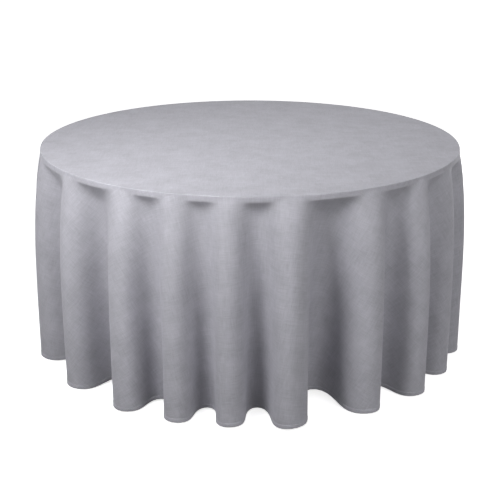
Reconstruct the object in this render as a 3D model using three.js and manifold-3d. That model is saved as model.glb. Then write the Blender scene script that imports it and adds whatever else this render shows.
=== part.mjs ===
// A round folding banquet table under a floor-length tablecloth.
//
// Millimetres, +Z up. The origin is on the floor under the middle of the table, and -Y is the front.
// The cloth is one round sheet. It lies flat on the top and hangs from the rim in soft folds, each ring of it
// keeping the length that it has when the cloth is flat. Under it are a plywood top with a plastic T-moulding
// round its edge, and four tube legs. Each leg turns on a bolt in a bracket and folds along the side of the
// square that the legs stand on, towards the next leg, so that all four lie flat without crossing.

import * as THREE from 'three';
import { mergeVertices } from 'three/addons/utils/BufferGeometryUtils.js';
import Module from 'manifold-3d';

const wasm = await Module();
wasm.setup();

// ---- Driving dimensions ----

// Clearances
const touchGap = 0.3; // between pieces that rest on or against each other
const rimGap = 0.6; // between the edge of the top and the cloth round it
const turningGap = 0.5; // each side of a leg head, between the ears of its bracket
const boltClearance = 0.3; // radial, round a bolt, rivet or screw

// Table
const tableHeight = 762; // floor to the face of the top
const topDiameter = 1524; // over the moulding
const panelThickness = 19;
const mouldingThickness = 3;
const mouldingRound = 2.5; // its outer corners
const tongueDepth = 9; // the moulding's barb, in the groove round the panel
const tongueThickness = 2;

// Legs
const tubeDiameter = 32;
const tubeWall = 1.5;
const headProud = 0.5; // how far a leg head's sides stand out past the tube, which folds between the ears
const headCorner = 4;
const spigotLength = 40;
const foldClearance = 58; // between a folded leg's foot and the middle of the next leg
const footWall = 2.2;
const footFloor = 6;
const footDepth = 38;
const footFlare = 1; // how much wider the foot is at the floor than at its mouth
const footChamfer = 2;

// Brackets
const plateThickness = 3;
const plateMargin = 26; // from the ears to the long edges of the plate
const plateLength = 104;
const earThickness = 3;
const earRound = 15; // round the hinge bolt
const earRoot = 27; // half the width of an ear where it meets the plate
const springThickness = 1.2;
const springWidth = 20;
const springRoom = 4.2; // between the leg head's passing corner and the spring, and the plate
const springTail = 14; // the length that is riveted to the plate
const springRamp = 10;
const springLip = 4; // how far the spring reaches past the head

// Fasteners
const boltDiameter = 8;
const boltHeadDiameter = 16;
const boltHeadHeight = 4.5;
const boltEnd = 2; // the thread that stands out of the nut
const boltTip = 1; // the bevel at its end
const nutFlats = 13;
const nutHeight = 6.5;
const rivetDiameter = 5;
const rivetHeadDiameter = 9;
const rivetHeadHeight = 2;
const rivetTip = 0.5;
const screwDiameter = 4.5;
const screwBite = 13; // how far a screw goes into the panel
const screwPoint = 3;
const screwTipRadius = 0.5;
const screwHeadDiameter = 9;
const screwHeadHeight = 2.6;
const screwInset = 10; // from the plate's edges
const crownShare = 0.6; // the flat on top of a domed head, as a share of its width
const skirtShare = 0.3; // the straight side of a domed head, as a share of its height

// Cloth
const clothThickness = 0.8;
const clothDrop = tableHeight; // measured flat, from the rim to the finished edge
const hemDepth = 12;
const hemThickness = 2.2; // three layers, turned up twice and stitched
const edgeHang = 3; // how far it hangs below the edge of the top before it can fold in under it
const steepestSlant = 0.45; // the most that any of it runs across, as a share of its length
const foldFlare = 52; // how far the folds stand out past the rim at the hem
const flareDepth = 180; // the drop over which most of that happens
const foldLegClearance = 12; // between the deepest fold and the legs' feet
const firstCrest = -72; // degrees round from the front, towards +X
// Degrees from each fold's crest to the next one, all the way round.
const crestSpacing = [
  21, 19, 14, 13, 14, 21, 16, 15, 15, 17, 14, 19, 15, 18, 13, 16, 20, 15, 17, 14, 18, 16,
];

// ---- Worked out from them ----

const topRadius = topDiameter / 2;
const panelRadius = topRadius - mouldingThickness - touchGap;
const panelUnderside = tableHeight - panelThickness;
const plateUnderside = panelUnderside - touchGap - plateThickness;
const headHalf = tubeDiameter / 2;
const headWidth = tubeDiameter + 2 * headProud;
const headReach = Math.SQRT2 * (headHalf - headCorner) + headCorner; // its corners, from the bolt
const pivotDrop = headReach + springThickness + springRoom; // plate to bolt
const pivotHeight = plateUnderside - pivotDrop;
const legPlace = (pivotHeight + foldClearance) / 2; // of each leg, along X and along Y
const earInside = headWidth / 2 + turningGap;
const earOutside = earInside + earThickness;
const plateWidth = 2 * (earOutside + plateMargin);
const rivetPlace = headHalf + springLip + springRamp + springTail / 2; // from the bolt
const boltHole = boltDiameter / 2 + boltClearance;
const screwHole = screwDiameter / 2 + boltClearance;
const rivetHole = rivetDiameter / 2 + boltClearance;
const footRadius = tubeDiameter / 2 + boltClearance + footWall + footFlare;
const clothRimRadius = topRadius + rimGap;
const edgeDrop = panelThickness + edgeHang;
const clothUnderside = tableHeight + touchGap;

const throughCut = 1; // how far a cutting tool runs past the face that it goes through
const roundSides = 72; // the large rings
const tubeSides = 20;
const boltSides = 12;
const screwSides = 8;
const cornerSteps = 2;
const foldSteps = 3; // facets in each half of a fold
const foldRows = [45, 120, 240, 430]; // below the edge of the top, with the hem still to come
const foldFineness = 8; // steps of the fold's curve in each facet

const steel = new THREE.MeshStandardMaterial({ color: 0x2a2b2e, roughness: 0.55, metalness: 0.6 });
const zinc = new THREE.MeshStandardMaterial({ color: 0xa9abae, roughness: 0.35, metalness: 0.9 });
const springSteel = new THREE.MeshStandardMaterial({ color: 0x6f7276, roughness: 0.3, metalness: 0.9 });
const nylon = new THREE.MeshStandardMaterial({ color: 0x1c1c1e, roughness: 0.6, metalness: 0 });
const rubber = new THREE.MeshStandardMaterial({ color: 0x161617, roughness: 0.85, metalness: 0 });
const plywood = new THREE.MeshStandardMaterial({ color: 0xc39a68, roughness: 0.5, metalness: 0 });
const moulding = new THREE.MeshStandardMaterial({ color: 0x3a2a20, roughness: 0.45, metalness: 0 });
const polyester = new THREE.MeshStandardMaterial({ color: 0xa7a6ad, roughness: 0.8, metalness: 0 });

// ---- Shape helpers ----

// A profile of [radius, height] points, turned about Z.
function turned(profile, sides) {
  const points = profile.map(([radius, height]) => new THREE.Vector2(radius, height));
  return new THREE.LatheGeometry(points, sides).rotateX(Math.PI / 2);
}

// A flat outline in X and Z, given thickness along Y and centred on it.
function acrossY(shape, thickness, curveSegments = boltSides) {
  const options = { depth: thickness, bevelEnabled: false, curveSegments };
  return new THREE.ExtrudeGeometry(shape, options).translate(0, 0, -thickness / 2).rotateX(Math.PI / 2);
}

// A cylinder about Z, from one height to another.
function rod(radius, from, to, sides) {
  return new THREE.CylinderGeometry(radius, radius, to - from, sides)
    .rotateX(Math.PI / 2)
    .translate(0, 0, (from + to) / 2);
}

// What a drill takes out: its facets lie outside the radius, so that the hole is nowhere smaller.
function drill(radius, from, to, sides = screwSides) {
  return rod(radius / Math.cos(Math.PI / sides), from, to, sides);
}

// The same in an outline.
function roundHole(radius, sides = boltSides) {
  const corner = radius / Math.cos(Math.PI / sides);
  const angles = Array.from({ length: sides }, (_, i) => (-2 * Math.PI * i) / sides);
  return new THREE.Path(
    angles.map((angle) => new THREE.Vector2(corner * Math.cos(angle), corner * Math.sin(angle))),
  );
}

function toSolid(geometry) {
  const bare = geometry.clone();
  bare.deleteAttribute('normal');
  bare.deleteAttribute('uv');
  const merged = mergeVertices(bare, 1e-3);
  const corners = [...merged.index.array];
  const triVerts = [];
  for (let i = 0; i < corners.length; i += 3) {
    const [a, b, c] = corners.slice(i, i + 3);
    if (a !== b && b !== c && c !== a) triVerts.push(a, b, c);
  }
  return new wasm.Manifold(
    new wasm.Mesh({
      numProp: 3,
      vertProperties: merged.attributes.position.array,
      triVerts: new Uint32Array(triVerts),
    }),
  );
}

function toGeometry(solid) {
  const mesh = solid.getMesh();
  return new THREE.BufferGeometry()
    .setAttribute('position', new THREE.BufferAttribute(mesh.vertProperties, 3))
    .setIndex(new THREE.BufferAttribute(mesh.triVerts, 1));
}

function joined(first, ...others) {
  return toGeometry(others.reduce((solid, other) => solid.add(toSolid(other)), toSolid(first)));
}

function cut(first, ...others) {
  return toGeometry(others.reduce((solid, other) => solid.subtract(toSolid(other)), toSolid(first)));
}

function piece(name, geometry, material) {
  const mesh = new THREE.Mesh(geometry, material);
  mesh.name = name;
  return mesh;
}

// ---- Table top ----

const screwPlaces = [-1, 1].flatMap((x) =>
  [-1, 1].map((y) => [x * (plateLength / 2 - screwInset), y * (plateWidth / 2 - screwInset)]),
);

// The four legs, in order round the table. Each stands at a corner and folds along its local +X.
const legs = ['back_right', 'back_left', 'front_left', 'front_right'].map((name, i) => ({
  name,
  x: legPlace * (i === 0 || i === 3 ? 1 : -1),
  y: legPlace * (i < 2 ? 1 : -1),
  turn: Math.PI + (i * Math.PI) / 2,
}));

function panel() {
  const grooveMiddle = tableHeight - panelThickness / 2;
  const grooveHalf = tongueThickness / 2 + touchGap;
  const grooveRadius = panelRadius - tongueDepth - touchGap;
  const disc = turned(
    [
      [0, panelUnderside],
      [panelRadius, panelUnderside],
      [panelRadius, grooveMiddle - grooveHalf],
      [grooveRadius, grooveMiddle - grooveHalf],
      [grooveRadius, grooveMiddle + grooveHalf],
      [panelRadius, grooveMiddle + grooveHalf],
      [panelRadius, tableHeight],
      [0, tableHeight],
    ],
    roundSides,
  );
  const holes = legs.flatMap((leg) =>
    screwPlaces.map(([x, y]) =>
      drill(screwHole, panelUnderside - throughCut, panelUnderside + screwBite + touchGap)
        .translate(x, y, 0)
        .rotateZ(leg.turn)
        .translate(leg.x, leg.y, 0),
    ),
  );
  return cut(disc, ...holes);
}

function edgeMoulding() {
  const middle = tableHeight - panelThickness / 2;
  const inner = topRadius - mouldingThickness;
  const tongueEnd = panelRadius - tongueDepth;
  const rounded = mouldingRound * (1 - Math.SQRT1_2);
  return turned(
    [
      [inner, panelUnderside],
      [topRadius - mouldingRound, panelUnderside],
      [topRadius - rounded, panelUnderside + rounded],
      [topRadius, panelUnderside + mouldingRound],
      [topRadius, tableHeight - mouldingRound],
      [topRadius - rounded, tableHeight - rounded],
      [topRadius - mouldingRound, tableHeight],
      [inner, tableHeight],
      [inner, middle + tongueThickness / 2],
      [tongueEnd, middle + tongueThickness / 2],
      [tongueEnd, middle - tongueThickness / 2],
      [inner, middle - tongueThickness / 2],
      [inner, panelUnderside],
    ],
    roundSides,
  );
}

// ---- Leg and bracket, in a frame with the hinge bolt along Y and the leg hanging down ----

function bracket() {
  const plate = new THREE.BoxGeometry(plateLength, plateWidth, plateThickness).translate(
    0,
    0,
    pivotDrop + plateThickness / 2,
  );
  // Each ear widens from its round end, tangent to it, to its root on the plate.
  const outline = new THREE.Shape();
  outline.moveTo(-earRoot, pivotDrop + plateThickness / 2);
  outline.lineTo(-earRound, 0);
  outline.absarc(0, 0, earRound, Math.PI, 2 * Math.PI, false);
  outline.lineTo(earRoot, pivotDrop + plateThickness / 2);
  outline.holes.push(roundHole(boltHole));
  const ears = [-1, 1].map((side) =>
    acrossY(outline, earThickness).translate(0, (side * (earInside + earOutside)) / 2, 0),
  );
  const [below, above] = [pivotDrop - throughCut, pivotDrop + plateThickness + throughCut];
  const screwHoles = screwPlaces.map(([x, y]) => drill(screwHole, below, above).translate(x, y, 0));
  const tailHole = drill(rivetHole, below, above).translate(rivetPlace, 0, 0);
  return cut(joined(plate, ...ears), ...screwHoles, tailHole);
}

// A leaf that lies on the leg head's flat and clicks over its corner as the leg folds.
function lockSpring() {
  const low = headHalf + touchGap;
  const high = pivotDrop - touchGap - springThickness;
  const bend = headHalf + springLip;
  const slant = springThickness * Math.tan(Math.atan2(high - low, springRamp) / 2);
  const end = bend + springRamp + springTail;
  const outline = new THREE.Shape(
    [
      [-bend, low],
      [bend, low],
      [bend + springRamp, high],
      [end, high],
      [end, high + springThickness],
      [bend + springRamp - slant, high + springThickness],
      [bend - slant, low + springThickness],
      [-bend, low + springThickness],
    ].map(([x, z]) => new THREE.Vector2(x, z)),
  );
  const tailHole = drill(rivetHole, high - throughCut, pivotDrop + throughCut).translate(rivetPlace, 0, 0);
  return cut(acrossY(outline, springWidth), tailHole);
}

// A bolt, screw or rivet about Z: a domed head below the height of its seat, and a shank from there to its
// end, which narrows to tipRadius over the length of its taper.
function fastener({ diameter, headDiameter, headHeight, seat, end, taper, tipRadius }, sides) {
  const radius = diameter / 2;
  const head = headDiameter / 2;
  return turned(
    [
      [0, seat - headHeight],
      [head * crownShare, seat - headHeight],
      [head, seat - headHeight * skirtShare],
      [head, seat],
      [radius, seat],
      [radius, end - taper],
      [tipRadius, end],
      [0, end],
    ],
    sides,
  );
}

function springRivet() {
  const shape = {
    diameter: rivetDiameter,
    headDiameter: rivetHeadDiameter,
    headHeight: rivetHeadHeight,
    seat: pivotDrop - 2 * touchGap - springThickness,
    end: pivotDrop + plateThickness,
    taper: rivetTip,
    tipRadius: rivetDiameter / 2 - rivetTip,
  };
  return fastener(shape, screwSides).translate(rivetPlace, 0, 0);
}

function panelScrew(x, y) {
  const shape = {
    diameter: screwDiameter,
    headDiameter: screwHeadDiameter,
    headHeight: screwHeadHeight,
    seat: pivotDrop - touchGap,
    end: pivotDrop + plateThickness + touchGap + screwBite,
    taper: screwPoint,
    tipRadius: screwTipRadius,
  };
  return fastener(shape, screwSides).translate(x, y, 0);
}

// The bolt runs along Y: it is made about Z and then laid over.
function hingeBolt() {
  const shape = {
    diameter: boltDiameter,
    headDiameter: boltHeadDiameter,
    headHeight: boltHeadHeight,
    seat: -earOutside - touchGap,
    end: earOutside + touchGap + nutHeight + boltEnd,
    taper: boltTip,
    tipRadius: boltDiameter / 2 - boltTip,
  };
  return fastener(shape, boltSides).rotateX(-Math.PI / 2);
}

function hingeNut() {
  const outline = new THREE.Shape();
  const corner = nutFlats / Math.sqrt(3);
  for (let i = 0; i < 6; i++) {
    const angle = (i * Math.PI) / 3;
    outline[i ? 'lineTo' : 'moveTo'](corner * Math.cos(angle), corner * Math.sin(angle));
  }
  outline.holes.push(roundHole(boltHole));
  return acrossY(outline, nutHeight).translate(0, earOutside + touchGap + nutHeight / 2, 0);
}

// A square block round the bolt, with flats for the spring, and a spigot that plugs the tube.
function legHead() {
  const flat = headHalf - headCorner;
  const outline = new THREE.Shape();
  outline.moveTo(-flat, -headHalf);
  outline.absarc(flat, -flat, headCorner, -Math.PI / 2, 0, false);
  outline.absarc(flat, flat, headCorner, 0, Math.PI / 2, false);
  outline.absarc(-flat, flat, headCorner, Math.PI / 2, Math.PI, false);
  outline.absarc(-flat, -flat, headCorner, Math.PI, 1.5 * Math.PI, false);
  outline.holes.push(roundHole(boltHole));
  const block = acrossY(outline, headWidth, cornerSteps);
  const spigotRadius = tubeDiameter / 2 - tubeWall - touchGap;
  const spigot = rod(spigotRadius, -headHalf - spigotLength, -headHalf + headCorner, tubeSides);
  return joined(block, spigot);
}

function legTube() {
  const outer = tubeDiameter / 2;
  const inner = outer - tubeWall;
  const top = -headHalf - touchGap;
  const bottom = -pivotHeight + footFloor + touchGap;
  return turned(
    [
      [inner, bottom],
      [outer, bottom],
      [outer, top],
      [inner, top],
      [inner, bottom],
    ],
    tubeSides,
  );
}

function foot() {
  const inner = tubeDiameter / 2 + boltClearance;
  const floor = -pivotHeight;
  return turned(
    [
      [0, floor],
      [footRadius - footChamfer, floor],
      [footRadius, floor + footChamfer],
      [footRadius - footFlare, floor + footDepth],
      [inner, floor + footDepth],
      [inner, floor + footFloor],
      [0, floor + footFloor],
    ],
    tubeSides,
  );
}

function legUnit({ name, x, y, turn }) {
  const unit = new THREE.Group();
  unit.position.set(x, y, pivotHeight);
  unit.rotation.z = turn;
  unit.add(
    piece(`bracket_${name}`, bracket(), zinc),
    piece(`lock_spring_${name}`, lockSpring(), springSteel),
    piece(`spring_rivet_${name}`, springRivet(), zinc),
    piece(`hinge_bolt_${name}`, hingeBolt(), zinc),
    piece(`hinge_nut_${name}`, hingeNut(), zinc),
    piece(`leg_head_${name}`, legHead(), nylon),
    piece(`leg_tube_${name}`, legTube(), steel),
    piece(`foot_${name}`, foot(), rubber),
    ...screwPlaces.map(([sx, sy], i) => piece(`screw_${i + 1}_${name}`, panelScrew(sx, sy), zinc)),
  );
  return unit;
}

// ---- Cloth ----

// Half of one fold in plan, from its crest to the bottom of the valley: [angle, radius] at each facet. The
// cloth in it is as long as the same slice of the flat ring, and its direction swings as a hanging fold's does.
// The swing is found that makes the half fold span just its own slice of the rim.
function halfFold(slice, flatRadius, crestRadius) {
  const steps = foldSteps * foldFineness;
  const step = (flatRadius * slice) / steps;
  const trace = (swing) => {
    const points = [[0, crestRadius]];
    let angle = 0;
    let radius = crestRadius;
    for (let i = 0; i < steps; i++) {
      const direction = swing * Math.sin((Math.PI * (i + 0.5)) / steps);
      radius -= step * Math.sin(direction);
      angle += (step * Math.cos(direction)) / radius;
      if ((i + 1) % foldFineness === 0) points.push([angle, radius]);
    }
    return points;
  };
  let [low, high] = [0, 2];
  for (let i = 0; i < 40; i++) {
    const middle = (low + high) / 2;
    if (trace(middle).at(-1)[0] > slice) low = middle;
    else high = middle;
  }
  const points = trace(low);
  const fit = slice / points.at(-1)[0];
  return points.map(([angle, radius]) => [angle * fit, radius]);
}

// A ring of the cloth in plan, made of the half folds [angle, radius] that halfOf gives for a slice of it.
function ring(halfOf) {
  const place = (azimuth, radius) =>
    new THREE.Vector2(radius * Math.sin(azimuth), -radius * Math.cos(azimuth));
  let crest = THREE.MathUtils.degToRad(firstCrest);
  return crestSpacing.flatMap((spacing) => {
    const width = THREE.MathUtils.degToRad(spacing);
    const half = halfOf(width / 2);
    const inwards = half.slice(0, -1).map(([angle, radius]) => place(crest + angle, radius));
    crest += width;
    const outwards = half.slice(1).map(([angle, radius]) => place(crest - angle, radius));
    return [...inwards, ...outwards.reverse()];
  });
}

// The ring round the rim, with no folds yet, and its points where the folds' facets start.
function rimRing() {
  return ring((slice) => {
    const step = slice / foldSteps;
    return Array.from({ length: foldSteps + 1 }, (_, i) => [i * step, clothRimRadius]);
  });
}

// A ring of the hanging part, at a drop from the rim that is measured along the cloth.
function foldedRing(drop) {
  const fold = (crestRadius) => (slice) => halfFold(slice, clothRimRadius + drop, crestRadius);
  const settled = (depth) => 1 - Math.exp(-depth / flareDepth);
  const crestRadius = clothRimRadius + (foldFlare * settled(drop)) / settled(clothDrop);
  // Where a fold would hang in as far as the legs, the legs hold the whole ring out.
  const legReach = Math.SQRT2 * legPlace + footRadius + foldLegClearance;
  const deepest = Math.min(...ring(fold(crestRadius)).map((point) => point.length()));
  return ring(fold(crestRadius + Math.max(0, legReach - deepest)));
}

// The outward direction of a ring, in plan, at each of its points.
function outward(ring) {
  return ring.map((_, i) => {
    const along = ring[(i + 1) % ring.length].clone().sub(ring.at(i - 1));
    return new THREE.Vector2(along.y, -along.x).normalize();
  });
}

// The rings of the hanging cloth from the rim down, as {drop, plan, out, z}. A point goes down by what is
// left of the cloth between two rings when its way across is taken off.
function hangingRings() {
  const rim = rimRing();
  const out = outward(rim);
  const rings = [0, edgeDrop].map((drop) => ({
    drop,
    plan: rim,
    out,
    z: rim.map(() => clothUnderside - drop),
  }));
  const sheetDrop = clothDrop - 2 * touchGap - hemDepth;
  for (const drop of [...foldRows.map((row) => edgeDrop + row), sheetDrop]) {
    const above = rings.at(-1);
    const length = drop - above.drop;
    const plan = foldedRing(drop).map((point, i) =>
      point.sub(above.plan[i]).clampLength(0, steepestSlant * length).add(above.plan[i]),
    );
    const z = plan.map(
      (point, i) => above.z[i] - Math.sqrt(length ** 2 - point.distanceToSquared(above.plan[i])),
    );
    rings.push({ drop, plan, out: outward(plan), z });
  }
  return rings;
}

// A closed skin of rings with the same number of points, each joined to the next. The last is joined to the
// first, or where there are caps, each cap closes its own ring with a fan from a point. The second half of the
// rings is the inner wall, which runs back up, and its facets are split along the same lines as the outer wall's.
function skin(rings, caps = []) {
  const count = rings[0].length;
  const vertices = [...rings.flat(), ...caps.map((cap) => cap.point)];
  const index = [];
  const last = caps.length ? rings.length - 1 : rings.length;
  for (let k = 0; k < last; k++) {
    const [from, to] = [k * count, ((k + 1) % rings.length) * count];
    const innerWall = k >= rings.length / 2;
    for (let i = 0; i < count; i++) {
      const j = (i + 1) % count;
      if (innerWall) index.push(from + i, to + i, from + j, to + i, to + j, from + j);
      else index.push(from + i, to + i, to + j, from + i, to + j, from + j);
    }
  }
  caps.forEach(({ ring, flip }, c) => {
    const [centre, from] = [rings.length * count + c, ring * count];
    for (let i = 0; i < count; i++) {
      const j = (i + 1) % count;
      index.push(centre, from + (flip ? j : i), from + (flip ? i : j));
    }
  });
  return new THREE.BufferGeometry()
    .setAttribute('position', new THREE.Float32BufferAttribute(vertices.flat(), 3))
    .setIndex(index);
}

function level(plan, out, offset, z) {
  return plan.map((point, i) => [point.x + offset * out[i].x, point.y + offset * out[i].y, z[i]]);
}

const hanging = hangingRings();

function tablecloth() {
  const face = clothUnderside + clothThickness;
  const inside = hanging.map(({ plan, out, z }) => level(plan, out, 0, z));
  const outside = hanging.map(({ plan, out, z }, k) =>
    level(plan, out, clothThickness, k ? z : z.map(() => face)),
  );
  return skin(
    [...outside, ...inside.reverse()],
    [
      { point: [0, 0, face], ring: 0 },
      { point: [0, 0, clothUnderside], ring: 2 * hanging.length - 1, flip: true },
    ],
  );
}

function hem() {
  const { plan, out, z } = hanging.at(-1);
  const top = z.map((value) => value - touchGap);
  const bottom = top.map((value) => value - hemDepth);
  const inner = (clothThickness - hemThickness) / 2;
  const outer = inner + hemThickness;
  return skin([
    level(plan, out, outer, top),
    level(plan, out, outer, bottom),
    level(plan, out, inner, bottom),
    level(plan, out, inner, top),
  ]);
}

// ---- Assembly ----

const table = new THREE.Group();
table.add(
  piece('top_panel', panel(), plywood),
  piece('edge_moulding', edgeMoulding(), moulding),
  ...legs.map(legUnit),
  piece('tablecloth', tablecloth(), polyester),
  piece('hem', hem(), polyester),
);

export default table;
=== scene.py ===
"""A round banquet table under a floor-length tablecloth.

Metres, +Z up. The origin is on the floor under the middle of the table, and -Y is the front. The table
comes from the frame, with its edges eased and its round parts made finer. The cloth is one round sheet: it
is laid on the top, started in its folds, and left to settle by cloth simulation. Its hem and stitching are
made on the settled sheet.
"""

from math import ceil, exp, pi, radians

import bpy
import numpy as np
from mathutils import Matrix, Vector


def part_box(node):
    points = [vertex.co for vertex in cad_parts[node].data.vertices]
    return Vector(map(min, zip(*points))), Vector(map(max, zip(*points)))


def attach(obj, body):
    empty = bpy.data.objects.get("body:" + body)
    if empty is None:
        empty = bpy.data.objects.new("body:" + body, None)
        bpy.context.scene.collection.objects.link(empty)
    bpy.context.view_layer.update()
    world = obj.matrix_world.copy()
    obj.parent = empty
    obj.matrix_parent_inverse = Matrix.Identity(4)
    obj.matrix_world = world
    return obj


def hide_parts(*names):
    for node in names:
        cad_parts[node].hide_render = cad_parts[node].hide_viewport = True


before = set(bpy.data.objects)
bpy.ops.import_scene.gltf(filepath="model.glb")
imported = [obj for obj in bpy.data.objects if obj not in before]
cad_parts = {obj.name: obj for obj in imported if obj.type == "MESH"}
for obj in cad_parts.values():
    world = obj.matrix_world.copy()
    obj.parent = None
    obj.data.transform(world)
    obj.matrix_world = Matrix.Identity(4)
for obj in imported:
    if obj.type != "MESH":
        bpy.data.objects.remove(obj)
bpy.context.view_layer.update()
bpy.ops.object.select_all(action="DESELECT")

MM = 0.001
LEGS = ["back_right", "back_left", "front_left", "front_right"]

# ---- Sizes that come from the frame ----

EDGE_LOW, EDGE_HIGH = (Vector(corner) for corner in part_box("edge_moulding"))
PANEL_LOW, PANEL_HIGH = (Vector(corner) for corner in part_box("top_panel"))
TOP_RADIUS = EDGE_HIGH.x
TOP_FACE = EDGE_HIGH.z
TOP_UNDERSIDE = EDGE_LOW.z

# ---- Camera ----

CAMERA_PLACE = (0, -3.84, 1.648)
CAMERA_TILT = radians(71.07)
CAMERA_LENS = 76.3

camera = bpy.data.objects.new("camera", bpy.data.cameras.new("camera"))
bpy.context.collection.objects.link(camera)
camera.location = CAMERA_PLACE
camera.rotation_euler = (CAMERA_TILT, 0, 0)
camera.data.lens = CAMERA_LENS
bpy.context.scene.camera = camera

# ---- Materials ----


class Value:
    """A number that varies over a surface: a node's output, with operators that add Math nodes to it."""

    def __init__(self, finish, socket):
        self.finish = finish
        self.socket = socket

    def math(self, operation, first, second):
        return self.finish.node("ShaderNodeMath", {0: first, 1: second}, operation=operation)

    def __add__(self, other):
        return self.math("ADD", self, other)

    def __radd__(self, other):
        return self.math("ADD", other, self)

    def __sub__(self, other):
        return self.math("SUBTRACT", self, other)

    def __rsub__(self, other):
        return self.math("SUBTRACT", other, self)

    def __mul__(self, other):
        return self.math("MULTIPLY", self, other)

    def __rmul__(self, other):
        return self.math("MULTIPLY", other, self)


class Finish:
    """A material in the making. `node` adds a node to it, and `surface` fills the shader's own sockets."""

    def __init__(self, name):
        self.material = bpy.data.materials.new(name)
        self.material.use_nodes = True
        self.tree = self.material.node_tree
        self.shader = self.tree.nodes["Principled BSDF"]

    def node(self, kind, inputs=None, output=0, ramp=None, **settings):
        made = self.tree.nodes.new(kind)
        for setting, value in settings.items():
            setattr(made, setting, value)
        if ramp:
            stops = made.color_ramp.elements
            while len(stops) < len(ramp):
                stops.new(1)
            for stop, (position, colour) in zip(stops, ramp):
                stop.position = position
                stop.color = (*colour, 1)
        for place, value in (inputs or {}).items():
            self.fill(made.inputs[place], value)
        return Value(self, made.outputs[output])

    def fill(self, socket, value):
        if isinstance(value, Value):
            self.tree.links.new(value.socket, socket)
        else:
            socket.default_value = value

    def surface(self, **inputs):
        for name, value in inputs.items():
            self.fill(self.shader.inputs[name.replace("_", " ")], value)
        return self.material

    def place(self, kind="Object", scale=(1, 1, 1), turn=(0, 0, 0)):
        """Where a point is, in the object's own metres or on the piece's flat map."""
        where = self.node("ShaderNodeTexCoord", output=kind)
        return self.node("ShaderNodeMapping", {"Vector": where, "Scale": scale, "Rotation": turn})

    def noise(self, place, scale, detail=3, roughness=0.5, distortion=0.0):
        inputs = {"Vector": place, "Scale": scale, "Detail": detail}
        inputs.update({"Roughness": roughness, "Distortion": distortion})
        return self.node("ShaderNodeTexNoise", inputs, output="Fac")

    def spread(self, value, low, high):
        """The value stretched so that low becomes 0 and high becomes 1, and clamped."""
        return self.node("ShaderNodeMapRange", {"Value": value, "From Min": low, "From Max": high})

    def mix(self, amount, first, second):
        colours = {0: amount, 6: (*first, 1) if isinstance(first, tuple) else first}
        colours[7] = (*second, 1) if isinstance(second, tuple) else second
        return self.node("ShaderNodeMix", colours, output=2, data_type="RGBA")

    def bump(self, height, distance, strength=1.0, normal=None):
        inputs = {"Height": height, "Distance": distance, "Strength": strength}
        if normal:
            inputs["Normal"] = normal
        return self.node("ShaderNodeBump", inputs, output="Normal")


def cloth_finish():
    """Silver-grey plain-weave polyester: slubs both ways, mottled a little, with a faint sheen."""
    f = Finish("cloth")
    thread = 1.1 * MM

    def threads(turn):
        place = f.place("UV", turn=(0, 0, turn))
        inputs = {"Vector": place, "Scale": 1 / (thread * 6.2832), "Distortion": 0.6, "Detail Scale": 2.0}
        settings = {"wave_type": "BANDS", "bands_direction": "X", "wave_profile": "SIN"}
        return f.node("ShaderNodeTexWave", inputs, output="Fac", **settings)

    def slubs(along, across):
        place = f.place("UV", scale=(1 / along, 1 / across, 1))
        return f.noise(place, 1.0, detail=2, roughness=0.6)

    weave = threads(0) * threads(pi / 2)
    fine_x, fine_y = slubs(38 * MM, 2.4 * MM), slubs(2.4 * MM, 38 * MM)
    broad_x, broad_y = slubs(160 * MM, 9 * MM), slubs(9 * MM, 160 * MM)
    slub = f.spread(fine_x + fine_y + 0.4 * (broad_x + broad_y), 1.15, 1.65)
    mottle = f.spread(f.noise(f.place("UV"), 11.0, detail=6, roughness=0.65), 0.34, 0.66)
    tone = f.spread(0.52 * slub + 0.42 * mottle + 0.06 * weave, 0, 1)
    colour = f.mix(tone, CLOTH_DARK, CLOTH_LIGHT)
    relief = f.bump(weave, 0.15 * MM, strength=0.25)
    relief = f.bump(slub, 0.25 * MM, strength=0.4, normal=relief)
    f.surface(Sheen_Weight=0.22, Sheen_Roughness=0.45, Sheen_Tint=(0.93, 0.93, 1.0, 1))
    return f.surface(Base_Color=colour, Roughness=0.78, Normal=relief, Specular_IOR_Level=0.3)


def thread_finish():
    f = Finish("sewing_thread")
    twist = f.noise(f.place(scale=(900, 900, 900)), 1.0)
    colour = f.mix(twist, (0.50, 0.49, 0.54), (0.66, 0.65, 0.70))
    f.surface(Base_Color=colour, Roughness=0.5, Normal=f.bump(twist, 0.05 * MM))
    return f.surface(Sheen_Weight=0.3)


def plywood_finish():
    """Birch plywood: figured grain on its faces, and the plies showing in its edge."""
    f = Finish("plywood")
    grain = f.noise(f.place(scale=(2.2, 46, 6)), 1.0, detail=6, roughness=0.62, distortion=0.35)
    figure = f.noise(f.place(scale=(1.2, 5.5, 2)), 1.0, detail=3, distortion=1.6)
    pores = f.spread(f.noise(f.place(scale=(60, 900, 60)), 1.0, detail=2), 0.62, 0.72)
    tone = f.spread(0.6 * grain + 0.4 * figure, 0.3, 0.7)
    ramp = [(0.0, (0.40, 0.235, 0.115)), (0.45, (0.56, 0.36, 0.19)), (1.0, (0.70, 0.50, 0.30))]
    face = f.node("ShaderNodeValToRGB", {"Fac": tone}, ramp=ramp)
    face = f.mix(0.35 * pores, face, (0.30, 0.16, 0.075))
    roughness = 0.36 + 0.2 * grain
    height = 0.6 * grain - 0.5 * pores
    f.surface(Base_Color=face, Roughness=roughness, Normal=f.bump(height, 0.12 * MM))
    return f.surface(Coat_Weight=0.25)


def moulding_finish():
    f = Finish("moulding")
    cells = f.noise(f.place(), 700, detail=2)
    wear = f.spread(f.noise(f.place(), 11, detail=5, roughness=0.7), 0.52, 0.75)
    colour = f.mix(0.5 * wear, (0.020, 0.0125, 0.009), (0.062, 0.045, 0.036))
    roughness = 0.36 + 0.2 * wear + 0.08 * cells
    return f.surface(Base_Color=colour, Roughness=roughness, Normal=f.bump(cells, 0.06 * MM, 0.6))


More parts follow.
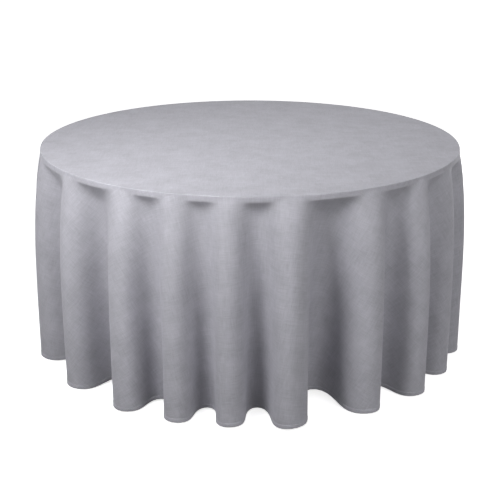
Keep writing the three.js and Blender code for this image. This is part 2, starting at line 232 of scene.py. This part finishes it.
def powder_coat_finish():
    f = Finish("leg_paint")
    peel = f.noise(f.place(), 420, detail=2)
    rub = f.spread(f.noise(f.place(scale=(1, 1, 0.25)), 24, detail=5, roughness=0.7), 0.56, 0.8)
    colour = f.mix(0.45 * rub, (0.0145, 0.0145, 0.016), (0.05, 0.05, 0.053))
    roughness = 0.42 + 0.16 * rub
    return f.surface(Base_Color=colour, Roughness=roughness, Normal=f.bump(peel, 0.10 * MM, 0.7))


def metal_finish(name, light, dark, roughness, drawn=(30, 30, 30)):
    """Bright metal: clouded plating, and fine lines along the way that it was drawn or rolled."""
    f = Finish(name)
    cloud = f.spread(f.noise(f.place(), 38, detail=4, roughness=0.6), 0.3, 0.7)
    lines = f.noise(f.place(scale=drawn), 40, detail=2)
    colour = f.mix(0.7 * cloud + 0.3 * lines, dark, light)
    rough = roughness + 0.14 * cloud + 0.08 * lines
    return f.surface(Base_Color=colour, Roughness=rough, Metallic=1.0, Normal=f.bump(lines, 0.02 * MM, 0.5))


def moulded_finish(name, dark, light, roughness, grain):
    """Moulded nylon or rubber: a fine matt grain, scuffed a little paler."""
    f = Finish(name)
    skin = f.noise(f.place(), grain, detail=3)
    scuff = f.spread(f.noise(f.place(), 60, detail=5, roughness=0.7), 0.55, 0.8)
    colour = f.mix(0.6 * scuff, dark, light)
    rough = roughness + 0.15 * scuff + 0.06 * skin
    return f.surface(Base_Color=colour, Roughness=rough, Normal=f.bump(skin, 0.08 * MM, 0.6))


CLOTH_DARK = (0.345, 0.34, 0.375)
CLOTH_LIGHT = (0.505, 0.50, 0.553)

FINISHES = {
    "cloth": cloth_finish(),
    "thread": thread_finish(),
    "plywood": plywood_finish(),
    "moulding": moulding_finish(),
    "leg_paint": powder_coat_finish(),
    "zinc": metal_finish("zinc", (0.72, 0.73, 0.75), (0.50, 0.51, 0.54), 0.26),
    "spring_steel": metal_finish("spring_steel", (0.44, 0.45, 0.47), (0.27, 0.27, 0.29), 0.30, (4, 90, 90)),
    "nylon": moulded_finish("nylon", (0.012, 0.012, 0.013), (0.035, 0.035, 0.037), 0.46, 900),
    "foot_rubber": moulded_finish("foot_rubber", (0.012, 0.012, 0.012), (0.05, 0.048, 0.046), 0.72, 500),
}


def finish(piece, slot):
    piece.data.materials.clear()
    piece.data.materials.append(FINISHES[slot])


# ---- The cloth ----

SHEET_RADIUS = 1524 * MM  # flat, to the finished edge
CLOTH_THICKNESS = 0.5 * MM
RIM_CLEARANCE = 0.9 * MM  # from the edge of the top to the cloth
CLOTH_LEVEL = TOP_FACE + 0.6 * MM
HEM_DEPTH = 12 * MM
HEM_THICKNESS = 1.8 * MM
HEM_ROUNDING = 0.7 * MM
EDGE_HANG = 1.5 * MM  # how far it hangs below the edge of the top before it can fold in under it

# Degrees round from the front towards +X: the first fold's crest, and from each crest to the next.
FIRST_CREST = -72
CREST_SPACING = [21, 19, 14, 13, 14, 21, 16, 15, 15, 17, 14, 19, 15, 18, 13, 16, 20, 15, 17, 14, 18, 16]
# How much further than the rest each crest stands out at the hem, in millimetres.
CREST_REACH = [0, 0, 6, 0, 0, 32, 6, 6, -8, -10, 4, -6, 9, 0, -7, 5, 10, -4, 3, -8, 6, 0]
CREST_BREADTH = 1.15  # over 1, the crests are broader than the valleys
FOLD_FLARE = 54 * MM  # how far the crests stand out past the rim at the hem
FLARE_DEPTH = 180 * MM
SLANT_UNDER_RIM = 0.74  # the most that it runs across, as a share of its length, just under the rim
SLANT_BELOW = 0.45
SLANT_DEPTH = 70 * MM  # the drop over which the first eases to the second
POCKET_SLACK = 26 * MM  # under the rim the folds are as deep as they would be with this much more drop
POCKET_START = 15 * MM
POCKET_DEPTH = 260 * MM

FOLD_FACETS = 6  # in each half of a fold
ROW_STEP = 25 * MM
RIM_STEP = 2.5 * MM
RIM_RADIUS = TOP_RADIUS + RIM_CLEARANCE
COLUMNS = 2 * FOLD_FACETS * len(CREST_SPACING)
SETTLE_FRAMES = 40
SAME_RING = 0.5 * MM  # points whose flat radii differ by less than this are in one ring


def half_folds(widths, flat_radius, crest_radius, fineness=6):
    """Half folds in plan, from crest to valley, as arrays of angle and radius with a row for each width.

    The cloth in each is as long as the same slice of the flat ring. Its direction swings as a hanging
    fold's does, by as much as makes the half fold span just its own slice of the rim.
    """
    steps = FOLD_FACETS * fineness
    step = flat_radius * widths / steps
    phase = np.sin(pi * ((np.arange(steps) + 0.5) / steps) ** CREST_BREADTH)

    def trace(swing):
        direction = swing[:, None] * phase
        radius = crest_radius - np.cumsum(step[:, None] * np.sin(direction), axis=1)
        angle = np.cumsum(step[:, None] * np.cos(direction) / radius, axis=1)
        return angle, radius

    low, high = np.zeros(len(widths)), np.full(len(widths), 2.0)
    for _ in range(40):
        middle = (low + high) / 2
        wide = trace(middle)[0][:, -1] > widths
        low, high = np.where(wide, middle, low), np.where(wide, high, middle)
    angle, radius = trace(low)
    angle = angle * (widths / angle[:, -1])[:, None]
    facets = slice(fineness - 1, None, fineness)
    start = np.zeros((len(widths), 1))
    return np.hstack([start, angle[:, facets]]), np.hstack([start + crest_radius, radius[:, facets]])


def folded_ring(drop):
    """A ring of the hanging cloth in plan, as an array of x and y."""
    widths = np.radians(CREST_SPACING) / 2

    def settled(depth):
        return 1 - exp(-depth / FLARE_DEPTH)

    share = settled(drop) / settled(SHEET_RADIUS - RIM_RADIUS)
    slack = POCKET_SLACK * (1 - exp(-drop / POCKET_START)) * exp(-drop / POCKET_DEPTH)
    crest_radius = RIM_RADIUS + FOLD_FLARE * share
    angle, radius = half_folds(widths, RIM_RADIUS + drop + slack, crest_radius)
    height = (radius - radius[:, -1:]) / (radius[:, :1] - radius[:, -1:])  # 1 at the crest, 0 in the valley
    reach = np.array(CREST_REACH) * MM * share
    crest, azimuths, radii = radians(FIRST_CREST), [], []
    for i, width in enumerate(widths):
        into = radius[i] + reach[i] * height[i]
        out_of = radius[i] + reach[(i + 1) % len(reach)] * height[i]
        azimuths += [*(crest + angle[i, :-1]), *(crest + 2 * width - angle[i, :0:-1])]
        radii += [*into[:-1], *out_of[:0:-1]]
        crest += 2 * width
    azimuths, radii = np.array(azimuths), np.array(radii)
    return np.stack([radii * np.sin(azimuths), -radii * np.cos(azimuths)], axis=1)


def ring_directions():
    """The outward direction of each column on the rim, in plan."""
    crest, azimuths = radians(FIRST_CREST), []
    for spacing in map(radians, CREST_SPACING):
        azimuths += [crest + spacing * i / (2 * FOLD_FACETS) for i in range(2 * FOLD_FACETS)]
        crest += spacing
    azimuths = np.array(azimuths)
    return np.stack([np.sin(azimuths), -np.cos(azimuths)], axis=1)


def row_radii():
    """The flat radius of each row, from the first one round the middle to the edge."""
    inside = [0.2, 0.4, 0.56, 0.66, 0.72]  # the sheet is flat here, so a few will do
    turn = [RIM_RADIUS + RIM_STEP * i for i in range(-2, 9)]
    hem = SHEET_RADIUS - HEM_DEPTH
    count = ceil((hem - turn[-1]) / ROW_STEP)
    hang = [turn[-1] + (hem - turn[-1]) * (i + 1) / count for i in range(count)]
    return inside + turn + hang + [SHEET_RADIUS]


def sheet_shapes():
    """The sheet's points when it is flat and when it is first hung, as arrays of rings of points."""
    around = ring_directions()
    flat, hung = [], []
    plan = around * RIM_RADIUS
    height = np.full(COLUMNS, CLOTH_LEVEL)
    edge_drop = CLOTH_LEVEL - TOP_UNDERSIDE + EDGE_HANG
    last = RIM_RADIUS
    for radius in row_radii():
        flat.append(np.column_stack([around * radius, np.full(COLUMNS, CLOTH_LEVEL)]))
        drop = radius - RIM_RADIUS
        if drop <= 0:
            hung.append(flat[-1].copy())
            continue
        length = radius - last
        last = radius
        goal = folded_ring(drop)
        if drop <= edge_drop:  # beside the edge of the top it can only stand out
            goal *= np.maximum(1, RIM_RADIUS / np.linalg.norm(goal, axis=1))[:, None]
        eased = exp(-drop / SLANT_DEPTH)
        slant = SLANT_BELOW + (SLANT_UNDER_RIM - SLANT_BELOW) * eased
        step = goal - plan
        far = np.linalg.norm(step, axis=1)
        step *= np.minimum(1, slant * length / np.maximum(far, 1e-9))[:, None]
        plan = plan + step
        height = height - np.sqrt(length**2 - (step**2).sum(axis=1))
        hung.append(np.column_stack([plan, height]))
    return np.array(flat), np.array(hung)


def sheet_of_rings(name, rings):
    """A sheet of quads from ring to ring, still open in the middle."""
    rows, columns = rings.shape[:2]
    faces = []
    for j in range(columns):
        k = (j + 1) % columns
        for a in range(0, (rows - 1) * columns, columns):
            faces.append((a + j, a + columns + j, a + columns + k, a + k))
    mesh = bpy.data.meshes.new(name)
    mesh.from_pydata([tuple(point) for point in rings.reshape(-1, 3)], [], faces)
    piece = bpy.data.objects.new(name, mesh)
    bpy.context.collection.objects.link(piece)
    return piece


def add_flat_map(piece, flat):
    """A UV map of each point's place on the flat sheet, in metres, so that the weave follows the cloth."""
    places = flat.reshape(-1, 3)[:, :2]
    layer = piece.data.uv_layers.new(name="flat")
    layer.data.foreach_set("uv", places[corner_points(piece)].astype(np.float32).ravel())


def corner_points(piece):
    corners = np.empty(len(piece.data.loops), dtype=np.int32)
    piece.data.loops.foreach_get("vertex_index", corners)
    return corners


def flat_places(piece):
    """Each point's place on the flat sheet, read back from the map."""
    places = np.empty((len(piece.data.vertices), 2), dtype=np.float32)
    read = np.empty(2 * len(piece.data.loops), dtype=np.float32)
    piece.data.uv_layers["flat"].data.foreach_get("uv", read)
    places[corner_points(piece)] = read.reshape(-1, 2)
    return places


def points_of(piece):
    points = np.empty(3 * len(piece.data.vertices), dtype=np.float32)
    piece.data.vertices.foreach_get("co", points)
    return points.reshape(-1, 3)


def make_active(piece):
    bpy.ops.object.select_all(action="DESELECT")
    piece.select_set(True)
    bpy.context.view_layer.objects.active = piece


def finish_with(piece, kind, **settings):
    """Adds a modifier and applies it."""
    make_active(piece)
    modifier = piece.modifiers.new(kind.lower(), kind)
    for setting, value in settings.items():
        setattr(modifier, setting, value)
    bpy.ops.object.modifier_apply(modifier=modifier.name)


def settle(piece, flat):
    """Hangs the sheet by cloth simulation, held where it lies on the top. Its threads rest as cut."""
    piece.shape_key_add(name="hung")
    rest = piece.shape_key_add(name="flat")
    rest.data.foreach_set("co", flat.astype(np.float32).ravel())
    held = piece.vertex_groups.new(name="held")
    rows_held = sum(radius <= RIM_RADIUS + 1e-6 for radius in row_radii())
    held.add(list(range(rows_held * COLUMNS)), 1.0, "REPLACE")

    middle = (0, 0, (TOP_FACE + TOP_UNDERSIDE) / 2)
    size = {"radius": TOP_RADIUS, "depth": TOP_FACE - TOP_UNDERSIDE}
    bpy.ops.mesh.primitive_cylinder_add(vertices=96, location=middle, **size)
    block = bpy.context.object
    block.modifiers.new("Collision", "COLLISION")
    block.collision.thickness_outer = 0.4 * MM
    block.collision.cloth_friction = 5

    cloth = piece.modifiers.new("Cloth", "CLOTH")
    threads = cloth.settings
    threads.rest_shape_key = rest
    threads.vertex_group_mass = "held"
    threads.quality = 6
    threads.mass = 0.003
    threads.air_damping = 1.0
    threads.tension_stiffness = 40
    threads.compression_stiffness = 5
    threads.shear_stiffness = 2
    threads.tension_damping = 10
    threads.compression_damping = 10
    threads.shear_damping = 10
    threads.bending_model = "ANGULAR"
    threads.bending_stiffness = 2.5
    threads.bending_damping = 0.5
    cloth.collision_settings.distance_min = 0.6 * MM
    cloth.point_cache.frame_start = 1
    cloth.point_cache.frame_end = SETTLE_FRAMES
    for number in range(1, SETTLE_FRAMES + 1):
        bpy.context.scene.frame_set(number)
    graph = bpy.context.evaluated_depsgraph_get()
    settled = bpy.data.meshes.new_from_object(piece.evaluated_get(graph))
    piece.shape_key_clear()
    piece.modifiers.clear()
    piece.vertex_groups.clear()
    piece.data = settled
    bpy.data.objects.remove(block)
    bpy.context.scene.frame_set(1)


def draped_cloth():
    """The sheet before it has a thickness: the face of its cloth, hanging."""
    flat, hung = sheet_shapes()
    piece = sheet_of_rings("draped_cloth", hung)
    add_flat_map(piece, flat)
    settle(piece, flat)
    finish_with(piece, "SUBSURF", levels=1, render_levels=1, uv_smooth="NONE")
    close_the_middle(piece)
    return piece


def close_the_middle(piece):
    """Fills the small flat opening that the rings leave round the middle of the sheet."""
    inner = np.linalg.norm(points_of(piece)[:, :2], axis=1) < row_radii()[0] + SAME_RING
    bpy.ops.object.mode_set(mode="EDIT")
    bpy.ops.mesh.select_mode(type="VERT")
    bpy.ops.mesh.select_all(action="DESELECT")
    bpy.ops.object.mode_set(mode="OBJECT")
    piece.data.vertices.foreach_set("select", inner)
    bpy.ops.object.mode_set(mode="EDIT")
    bpy.ops.mesh.select_mode(type="VERT")
    bpy.ops.mesh.edge_face_add()
    bpy.ops.mesh.poke()
    bpy.ops.object.mode_set(mode="OBJECT")
    map_the_middle(piece)


def map_the_middle(piece):
    """Near the middle the sheet lies as it was cut, so there the map is simply the place."""
    layer = piece.data.uv_layers["flat"]
    corners = corner_points(piece)
    places = points_of(piece)[corners][:, :2]
    read = np.empty(2 * len(corners), dtype=np.float32)
    layer.data.foreach_get("uv", read)
    read = read.reshape(-1, 2)
    middle = np.linalg.norm(places, axis=1) < row_radii()[1]
    read[middle] = places[middle]
    layer.data.foreach_set("uv", read.ravel())


def hem_band(sheet):
    """The hem: the last of the sheet turned up twice, as a band with rounded edges."""
    make_active(sheet)
    bpy.ops.object.duplicate()
    band = bpy.context.object
    band.name = "turned_hem"
    radius = np.linalg.norm(flat_places(band), axis=1)
    above = radius < SHEET_RADIUS - HEM_DEPTH - SAME_RING
    bpy.ops.object.mode_set(mode="EDIT")
    bpy.ops.mesh.select_mode(type="VERT")
    bpy.ops.mesh.select_all(action="DESELECT")
    bpy.ops.object.mode_set(mode="OBJECT")
    band.data.vertices.foreach_set("select", above)
    bpy.ops.object.mode_set(mode="EDIT")
    bpy.ops.mesh.delete(type="VERT")
    bpy.ops.object.mode_set(mode="OBJECT")
    finish_with(band, "SOLIDIFY", thickness=HEM_THICKNESS, offset=0.0, use_even_offset=True)
    edges = {"width": HEM_ROUNDING, "segments": 2, "limit_method": "ANGLE", "angle_limit": radians(50)}
    finish_with(band, "BEVEL", **edges)
    return band


# ---- The hem's stitching ----

STITCH_LENGTH = 2.6 * MM
STITCH_PITCH = 3.4 * MM
STITCH_WIDTH = 0.55 * MM
STITCH_ROUNDING = 0.16 * MM
STITCH_PROUD = 0.05 * MM
STITCH_BELOW = 1.6 * MM  # from the top of the hem down to the row


def stitch_line(sheet):
    """A closed curve along the top of the hem, on the outside of the cloth."""
    flat = flat_places(sheet)
    radius = np.linalg.norm(flat, axis=1)
    ring = np.where(abs(radius - (SHEET_RADIUS - HEM_DEPTH)) < SAME_RING)[0]
    ring = ring[np.argsort(np.arctan2(flat[ring, 0], -flat[ring, 1]))]
    line = points_of(sheet)[ring]
    along = np.roll(line, -1, axis=0) - np.roll(line, 1, axis=0)
    outwards = np.column_stack([along[:, 1], -along[:, 0], np.zeros(len(line))])
    outwards /= np.linalg.norm(outwards, axis=1)[:, None]
    line = line + outwards * (HEM_THICKNESS / 2 + STITCH_PROUD)
    line[:, 2] -= STITCH_BELOW
    curve = bpy.data.curves.new("stitch_line", "CURVE")
    curve.dimensions = "3D"
    curve.twist_mode = "Z_UP"
    spline = curve.splines.new("POLY")
    spline.points.add(len(line) - 1)
    places = np.column_stack([line, np.ones(len(line))])
    spline.points.foreach_set("co", places.astype(np.float32).ravel())
    spline.use_cyclic_u = True
    path = bpy.data.objects.new("stitch_line", curve)
    bpy.context.collection.objects.link(path)
    return path, spline.calc_length()


def hem_stitches(sheet):
    """One row of lockstitch: a short, round-ended stitch, repeated along the line and bent to it."""
    path, length = stitch_line(sheet)
    bpy.ops.mesh.primitive_cylinder_add(vertices=6, radius=STITCH_WIDTH / 2, depth=STITCH_LENGTH)
    piece = bpy.context.object
    piece.name = "hem_stitching"
    piece.data.transform(Matrix.Translation((STITCH_LENGTH / 2, 0, 0)) @ Matrix.Rotation(pi / 2, 4, "Y"))
    ends = {"width": STITCH_ROUNDING, "segments": 1, "limit_method": "ANGLE", "angle_limit": radians(80)}
    finish_with(piece, "BEVEL", **ends)
    count = int(length / STITCH_PITCH)
    repeat = {"fit_type": "FIXED_COUNT", "count": count, "use_relative_offset": False}
    repeat.update({"use_constant_offset": True, "constant_offset_displace": (length / count, 0, 0)})
    finish_with(piece, "ARRAY", **repeat)
    finish_with(piece, "CURVE", object=path, deform_axis="POS_X")
    bpy.data.objects.remove(path)
    return piece


sheet = draped_cloth()
hem = hem_band(sheet)
stitches = hem_stitches(sheet)
finish_with(sheet, "SOLIDIFY", thickness=CLOTH_THICKNESS, offset=-1.0, use_even_offset=False)

for piece, slot in ((sheet, "cloth"), (hem, "cloth"), (stitches, "thread")):
    finish(piece, slot)
    make_active(piece)
    bpy.ops.object.shade_smooth()
    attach(piece, "cloth")
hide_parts("tablecloth")
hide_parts("hem")

# ---- The table: its round parts made finer, and its edges eased ----

TUBE_STEPS = 48
TOP_STEPS = 288
PANEL_ROUNDING = 0.8 * MM
EDGE_WALL = 3 * MM
EDGE_ROUNDING = 2.5 * MM
TUBE_WALL = 1.5 * MM
TUBE_ROUNDING = 0.3 * MM
FOOT_WALL = 3.5 * MM
FOOT_FLARE = 1.0 * MM
FOOT_FLOOR = 6 * MM
PAD_HEIGHT = 7 * MM
FOOT_ROUNDING = 0.5 * MM
GROOVES = 3
GROOVE_START = 14 * MM  # above the foot's base
GROOVE_PITCH = 6 * MM
GROOVE_DEPTH = 0.7 * MM
GROOVE_WIDTH = 1.6 * MM

# The pieces at each leg that stay with the table: node, name, slot, and how far its edges are eased.
FITTINGS = [
    ("bracket", "pressed_bracket", "zinc", 0.5 * MM),
    ("lock_spring", "leaf_spring", "spring_steel", 0.2 * MM),
    ("spring_rivet", "dome_rivet", "zinc", 0.2 * MM),
    ("hinge_bolt", "carriage_bolt", "zinc", 0.3 * MM),
    ("hinge_nut", "hex_nut", "zinc", 0.4 * MM),
    *((f"screw_{number}", f"wood_screw_{number}", "zinc", 0.2 * MM) for number in range(1, 5)),
]


def turned(name, outline, steps, axis=(0, 0)):
    """A closed outline of (radius, height) points spun round a vertical axis."""
    bpy.ops.object.select_all(action="DESELECT")
    bpy.ops.mesh.primitive_circle_add(vertices=len(outline))
    piece = bpy.context.object
    piece.name = name
    for vertex, (radius, height) in zip(piece.data.vertices, outline):
        vertex.co = (axis[0] + radius, axis[1], height)
    bpy.ops.object.mode_set(mode="EDIT")
    bpy.ops.mesh.select_all(action="SELECT")
    bpy.ops.mesh.spin(steps=steps, angle=2 * pi, center=(*axis, 0), axis=(0, 0, 1))
    bpy.ops.mesh.select_all(action="SELECT")
    bpy.ops.mesh.remove_doubles(threshold=0.02 * MM)
    bpy.ops.mesh.normals_make_consistent(inside=False)
    bpy.ops.object.mode_set(mode="OBJECT")
    return piece


def rounded(outline, corner, steps=3):
    """The outline with rounded corners. A point is (radius, height), or has its own corner size third."""
    points = []
    count = len(outline)
    for i, point in enumerate(outline):
        here = Vector(point[:2])
        size = point[2] if len(point) > 2 else corner
        before = Vector(outline[i - 1][:2]) - here
        after = Vector(outline[(i + 1) % count][:2]) - here
        if not size:
            points.append(tuple(here))
            continue
        start, end = here + before.normalized() * size, here + after.normalized() * size
        for step in range(steps + 1):
            t = step / steps
            points.append(tuple((1 - t) ** 2 * start + 2 * t * (1 - t) * here + t**2 * end))
    return points


def settle_in(piece, node, slot, body, angle=30):
    """Gives a finished piece its material and puts it in a CAD node's place."""
    finish(piece, slot)
    make_active(piece)
    bpy.ops.object.shade_smooth_by_angle(angle=radians(angle))
    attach(piece, body)
    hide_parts(node)


def fine_panel():
    radius = PANEL_HIGH.x
    low, high = PANEL_LOW.z, PANEL_HIGH.z
    outline = rounded([(0, low, 0), (radius, low), (radius, high), (0, high, 0)], PANEL_ROUNDING)
    settle_in(turned("plywood_top", outline, TOP_STEPS), "top_panel", "plywood", "table")


def fine_moulding():
    inner = TOP_RADIUS - EDGE_WALL
    low, high = EDGE_LOW.z, EDGE_HIGH.z
    outline = [(inner, low, 0), (TOP_RADIUS, low), (TOP_RADIUS, high), (inner, high, 0)]
    outline = rounded(outline, EDGE_ROUNDING, 6)
    settle_in(turned("vinyl_edge", outline, TOP_STEPS), "edge_moulding", "moulding", "table")


def axis_of(node):
    low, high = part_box(node)
    return ((low[0] + high[0]) / 2, (low[1] + high[1]) / 2), low, high


def fine_tube(leg):
    node = f"leg_tube_{leg}"
    axis, low, high = axis_of(node)
    outer = (high[0] - low[0]) / 2
    inner = outer - TUBE_WALL
    outline = [(inner, low[2]), (outer, low[2]), (outer, high[2]), (inner, high[2])]
    outline = rounded(outline, TUBE_ROUNDING, 2)
    settle_in(turned(f"steel_tube_{leg}", outline, TUBE_STEPS, axis), node, "leg_paint", f"leg_{leg}")


def fine_foot(leg):
    """A rubber ferrule: a flared, round-edged pad, with three shallow grooves round its wall."""
    node = f"foot_{leg}"
    axis, low, high = axis_of(node)
    outer = (high[0] - low[0]) / 2
    inner, wall = outer - FOOT_WALL, outer - FOOT_FLARE
    base, top, floor = low[2], high[2], low[2] + FOOT_FLOOR
    outline = [(0, base, 0), (outer, base, 2 * MM)]
    outline += [(outer, base + PAD_HEIGHT, 1 * MM), (wall, base + PAD_HEIGHT + 2 * MM, 1 * MM)]
    for groove in range(GROOVES):
        height = base + GROOVE_START + GROOVE_PITCH * groove
        outline.append((wall, height, 0))
        outline.append((wall - GROOVE_DEPTH, height + GROOVE_WIDTH / 2, 0.3 * MM))
        outline.append((wall, height + GROOVE_WIDTH, 0))
    outline += [(wall, top), (inner, top), (inner, floor, 0), (0, floor, 0)]
    piece = turned(f"rubber_foot_{leg}", rounded(outline, FOOT_ROUNDING), TUBE_STEPS, axis)
    settle_in(piece, node, "foot_rubber", f"leg_{leg}")


def eased(node, name, slot, body, width):
    """A CAD piece with its sharp edges broken, as a deburred, stamped or moulded part's are."""
    piece = bpy.data.objects.new(name, bpy.data.objects[node].data.copy())
    bpy.context.collection.objects.link(piece)
    make_active(piece)
    bpy.ops.object.mode_set(mode="EDIT")
    bpy.ops.mesh.select_all(action="SELECT")
    bpy.ops.mesh.remove_doubles(threshold=0.01 * MM)
    bpy.ops.mesh.dissolve_limited(angle_limit=radians(1))
    bpy.ops.object.mode_set(mode="OBJECT")
    finish_with(piece, "BEVEL", width=width, segments=2, limit_method="ANGLE", angle_limit=radians(40))
    settle_in(piece, node, slot, body, 35)


fine_panel()
fine_moulding()
for leg in LEGS:
    fine_tube(leg)
    fine_foot(leg)
    eased(f"leg_head_{leg}", f"nylon_head_{leg}", "nylon", f"leg_{leg}", 0.6 * MM)
    for node, name, slot, width in FITTINGS:
        eased(f"{node}_{leg}", f"{name}_{leg}", slot, "table", width)

# ---- Floor and light ----

FLOOR_GLOW = 0.8
LIGHT_FROM_ABOVE = 0.32
LIGHT_FROM_BELOW = 0.02
SWEEP_RADIUS = 24

def floor_finish():
    """A white sweep lit from behind, so that it stays pale round the table."""
    f = Finish("floor")
    tone = f.noise(f.place(), 0.8, detail=2)
    colour = f.mix(tone, (0.80, 0.80, 0.80), (0.83, 0.83, 0.83))
    f.surface(Base_Color=colour, Roughness=0.9, Emission_Color=(1, 1, 1, 1), Emission_Strength=FLOOR_GLOW)
    return f.material


def studio_world():
    """Soft white light from above, fading towards the horizon, with very little from below it."""
    world = bpy.data.worlds.new("studio")
    world.use_nodes = True
    tree = world.node_tree
    where = tree.nodes.new("ShaderNodeTexCoord")
    split = tree.nodes.new("ShaderNodeSeparateXYZ")
    shades = tree.nodes.new("ShaderNodeValToRGB")
    tree.links.new(where.outputs["Generated"], split.inputs["Vector"])
    tree.links.new(split.outputs["Z"], shades.inputs["Fac"])
    tree.links.new(shades.outputs["Color"], tree.nodes["Background"].inputs["Color"])
    low, high = shades.color_ramp.elements
    low.position, high.position = 0.0, 0.25
    low.color, high.color = (*[LIGHT_FROM_BELOW] * 3, 1), (1, 1, 1, 1)
    tree.nodes["Background"].inputs["Strength"].default_value = LIGHT_FROM_ABOVE
    return world


def soft_light(name, place, size, power, aim, spread=180):
    data = bpy.data.lights.new(name, "AREA")
    data.shape = "DISK"
    data.size = size
    data.energy = power
    data.spread = radians(spread)
    light = bpy.data.objects.new(name, data)
    light.location = place
    light.visible_camera = False
    light.rotation_euler = (Vector(aim) - Vector(place)).to_track_quat("-Z", "Y").to_euler()
    bpy.context.collection.objects.link(light)


WHITE = floor_finish()

bpy.ops.mesh.primitive_plane_add(size=2 * SWEEP_RADIUS)
floor = bpy.context.object
floor.name = "floor"
wall = {"radius": SWEEP_RADIUS, "depth": 2 * SWEEP_RADIUS, "end_fill_type": "NOTHING"}
bpy.ops.mesh.primitive_cylinder_add(vertices=96, **wall)
backdrop = bpy.context.object
backdrop.name = "backdrop"
backdrop.visible_shadow = False
for white in (floor, backdrop):
    white.data.materials.append(WHITE)
    white.visible_diffuse = False

bpy.context.scene.world = studio_world()
bpy.context.scene.view_settings.view_transform = "Standard"
soft_light("key", (-1.5, -1.9, 2.4), 1.3, 11.3, aim=(-0.4, -0.45, 0.85), spread=62)
soft_light("fill", (2.3, -3.2, 1.9), 2.0, 48, aim=(0.1, 0, 0.6))
soft_light("back", (2.3, 2.7, 0.55), 1.0, 34, aim=(0, 0, 0.4))
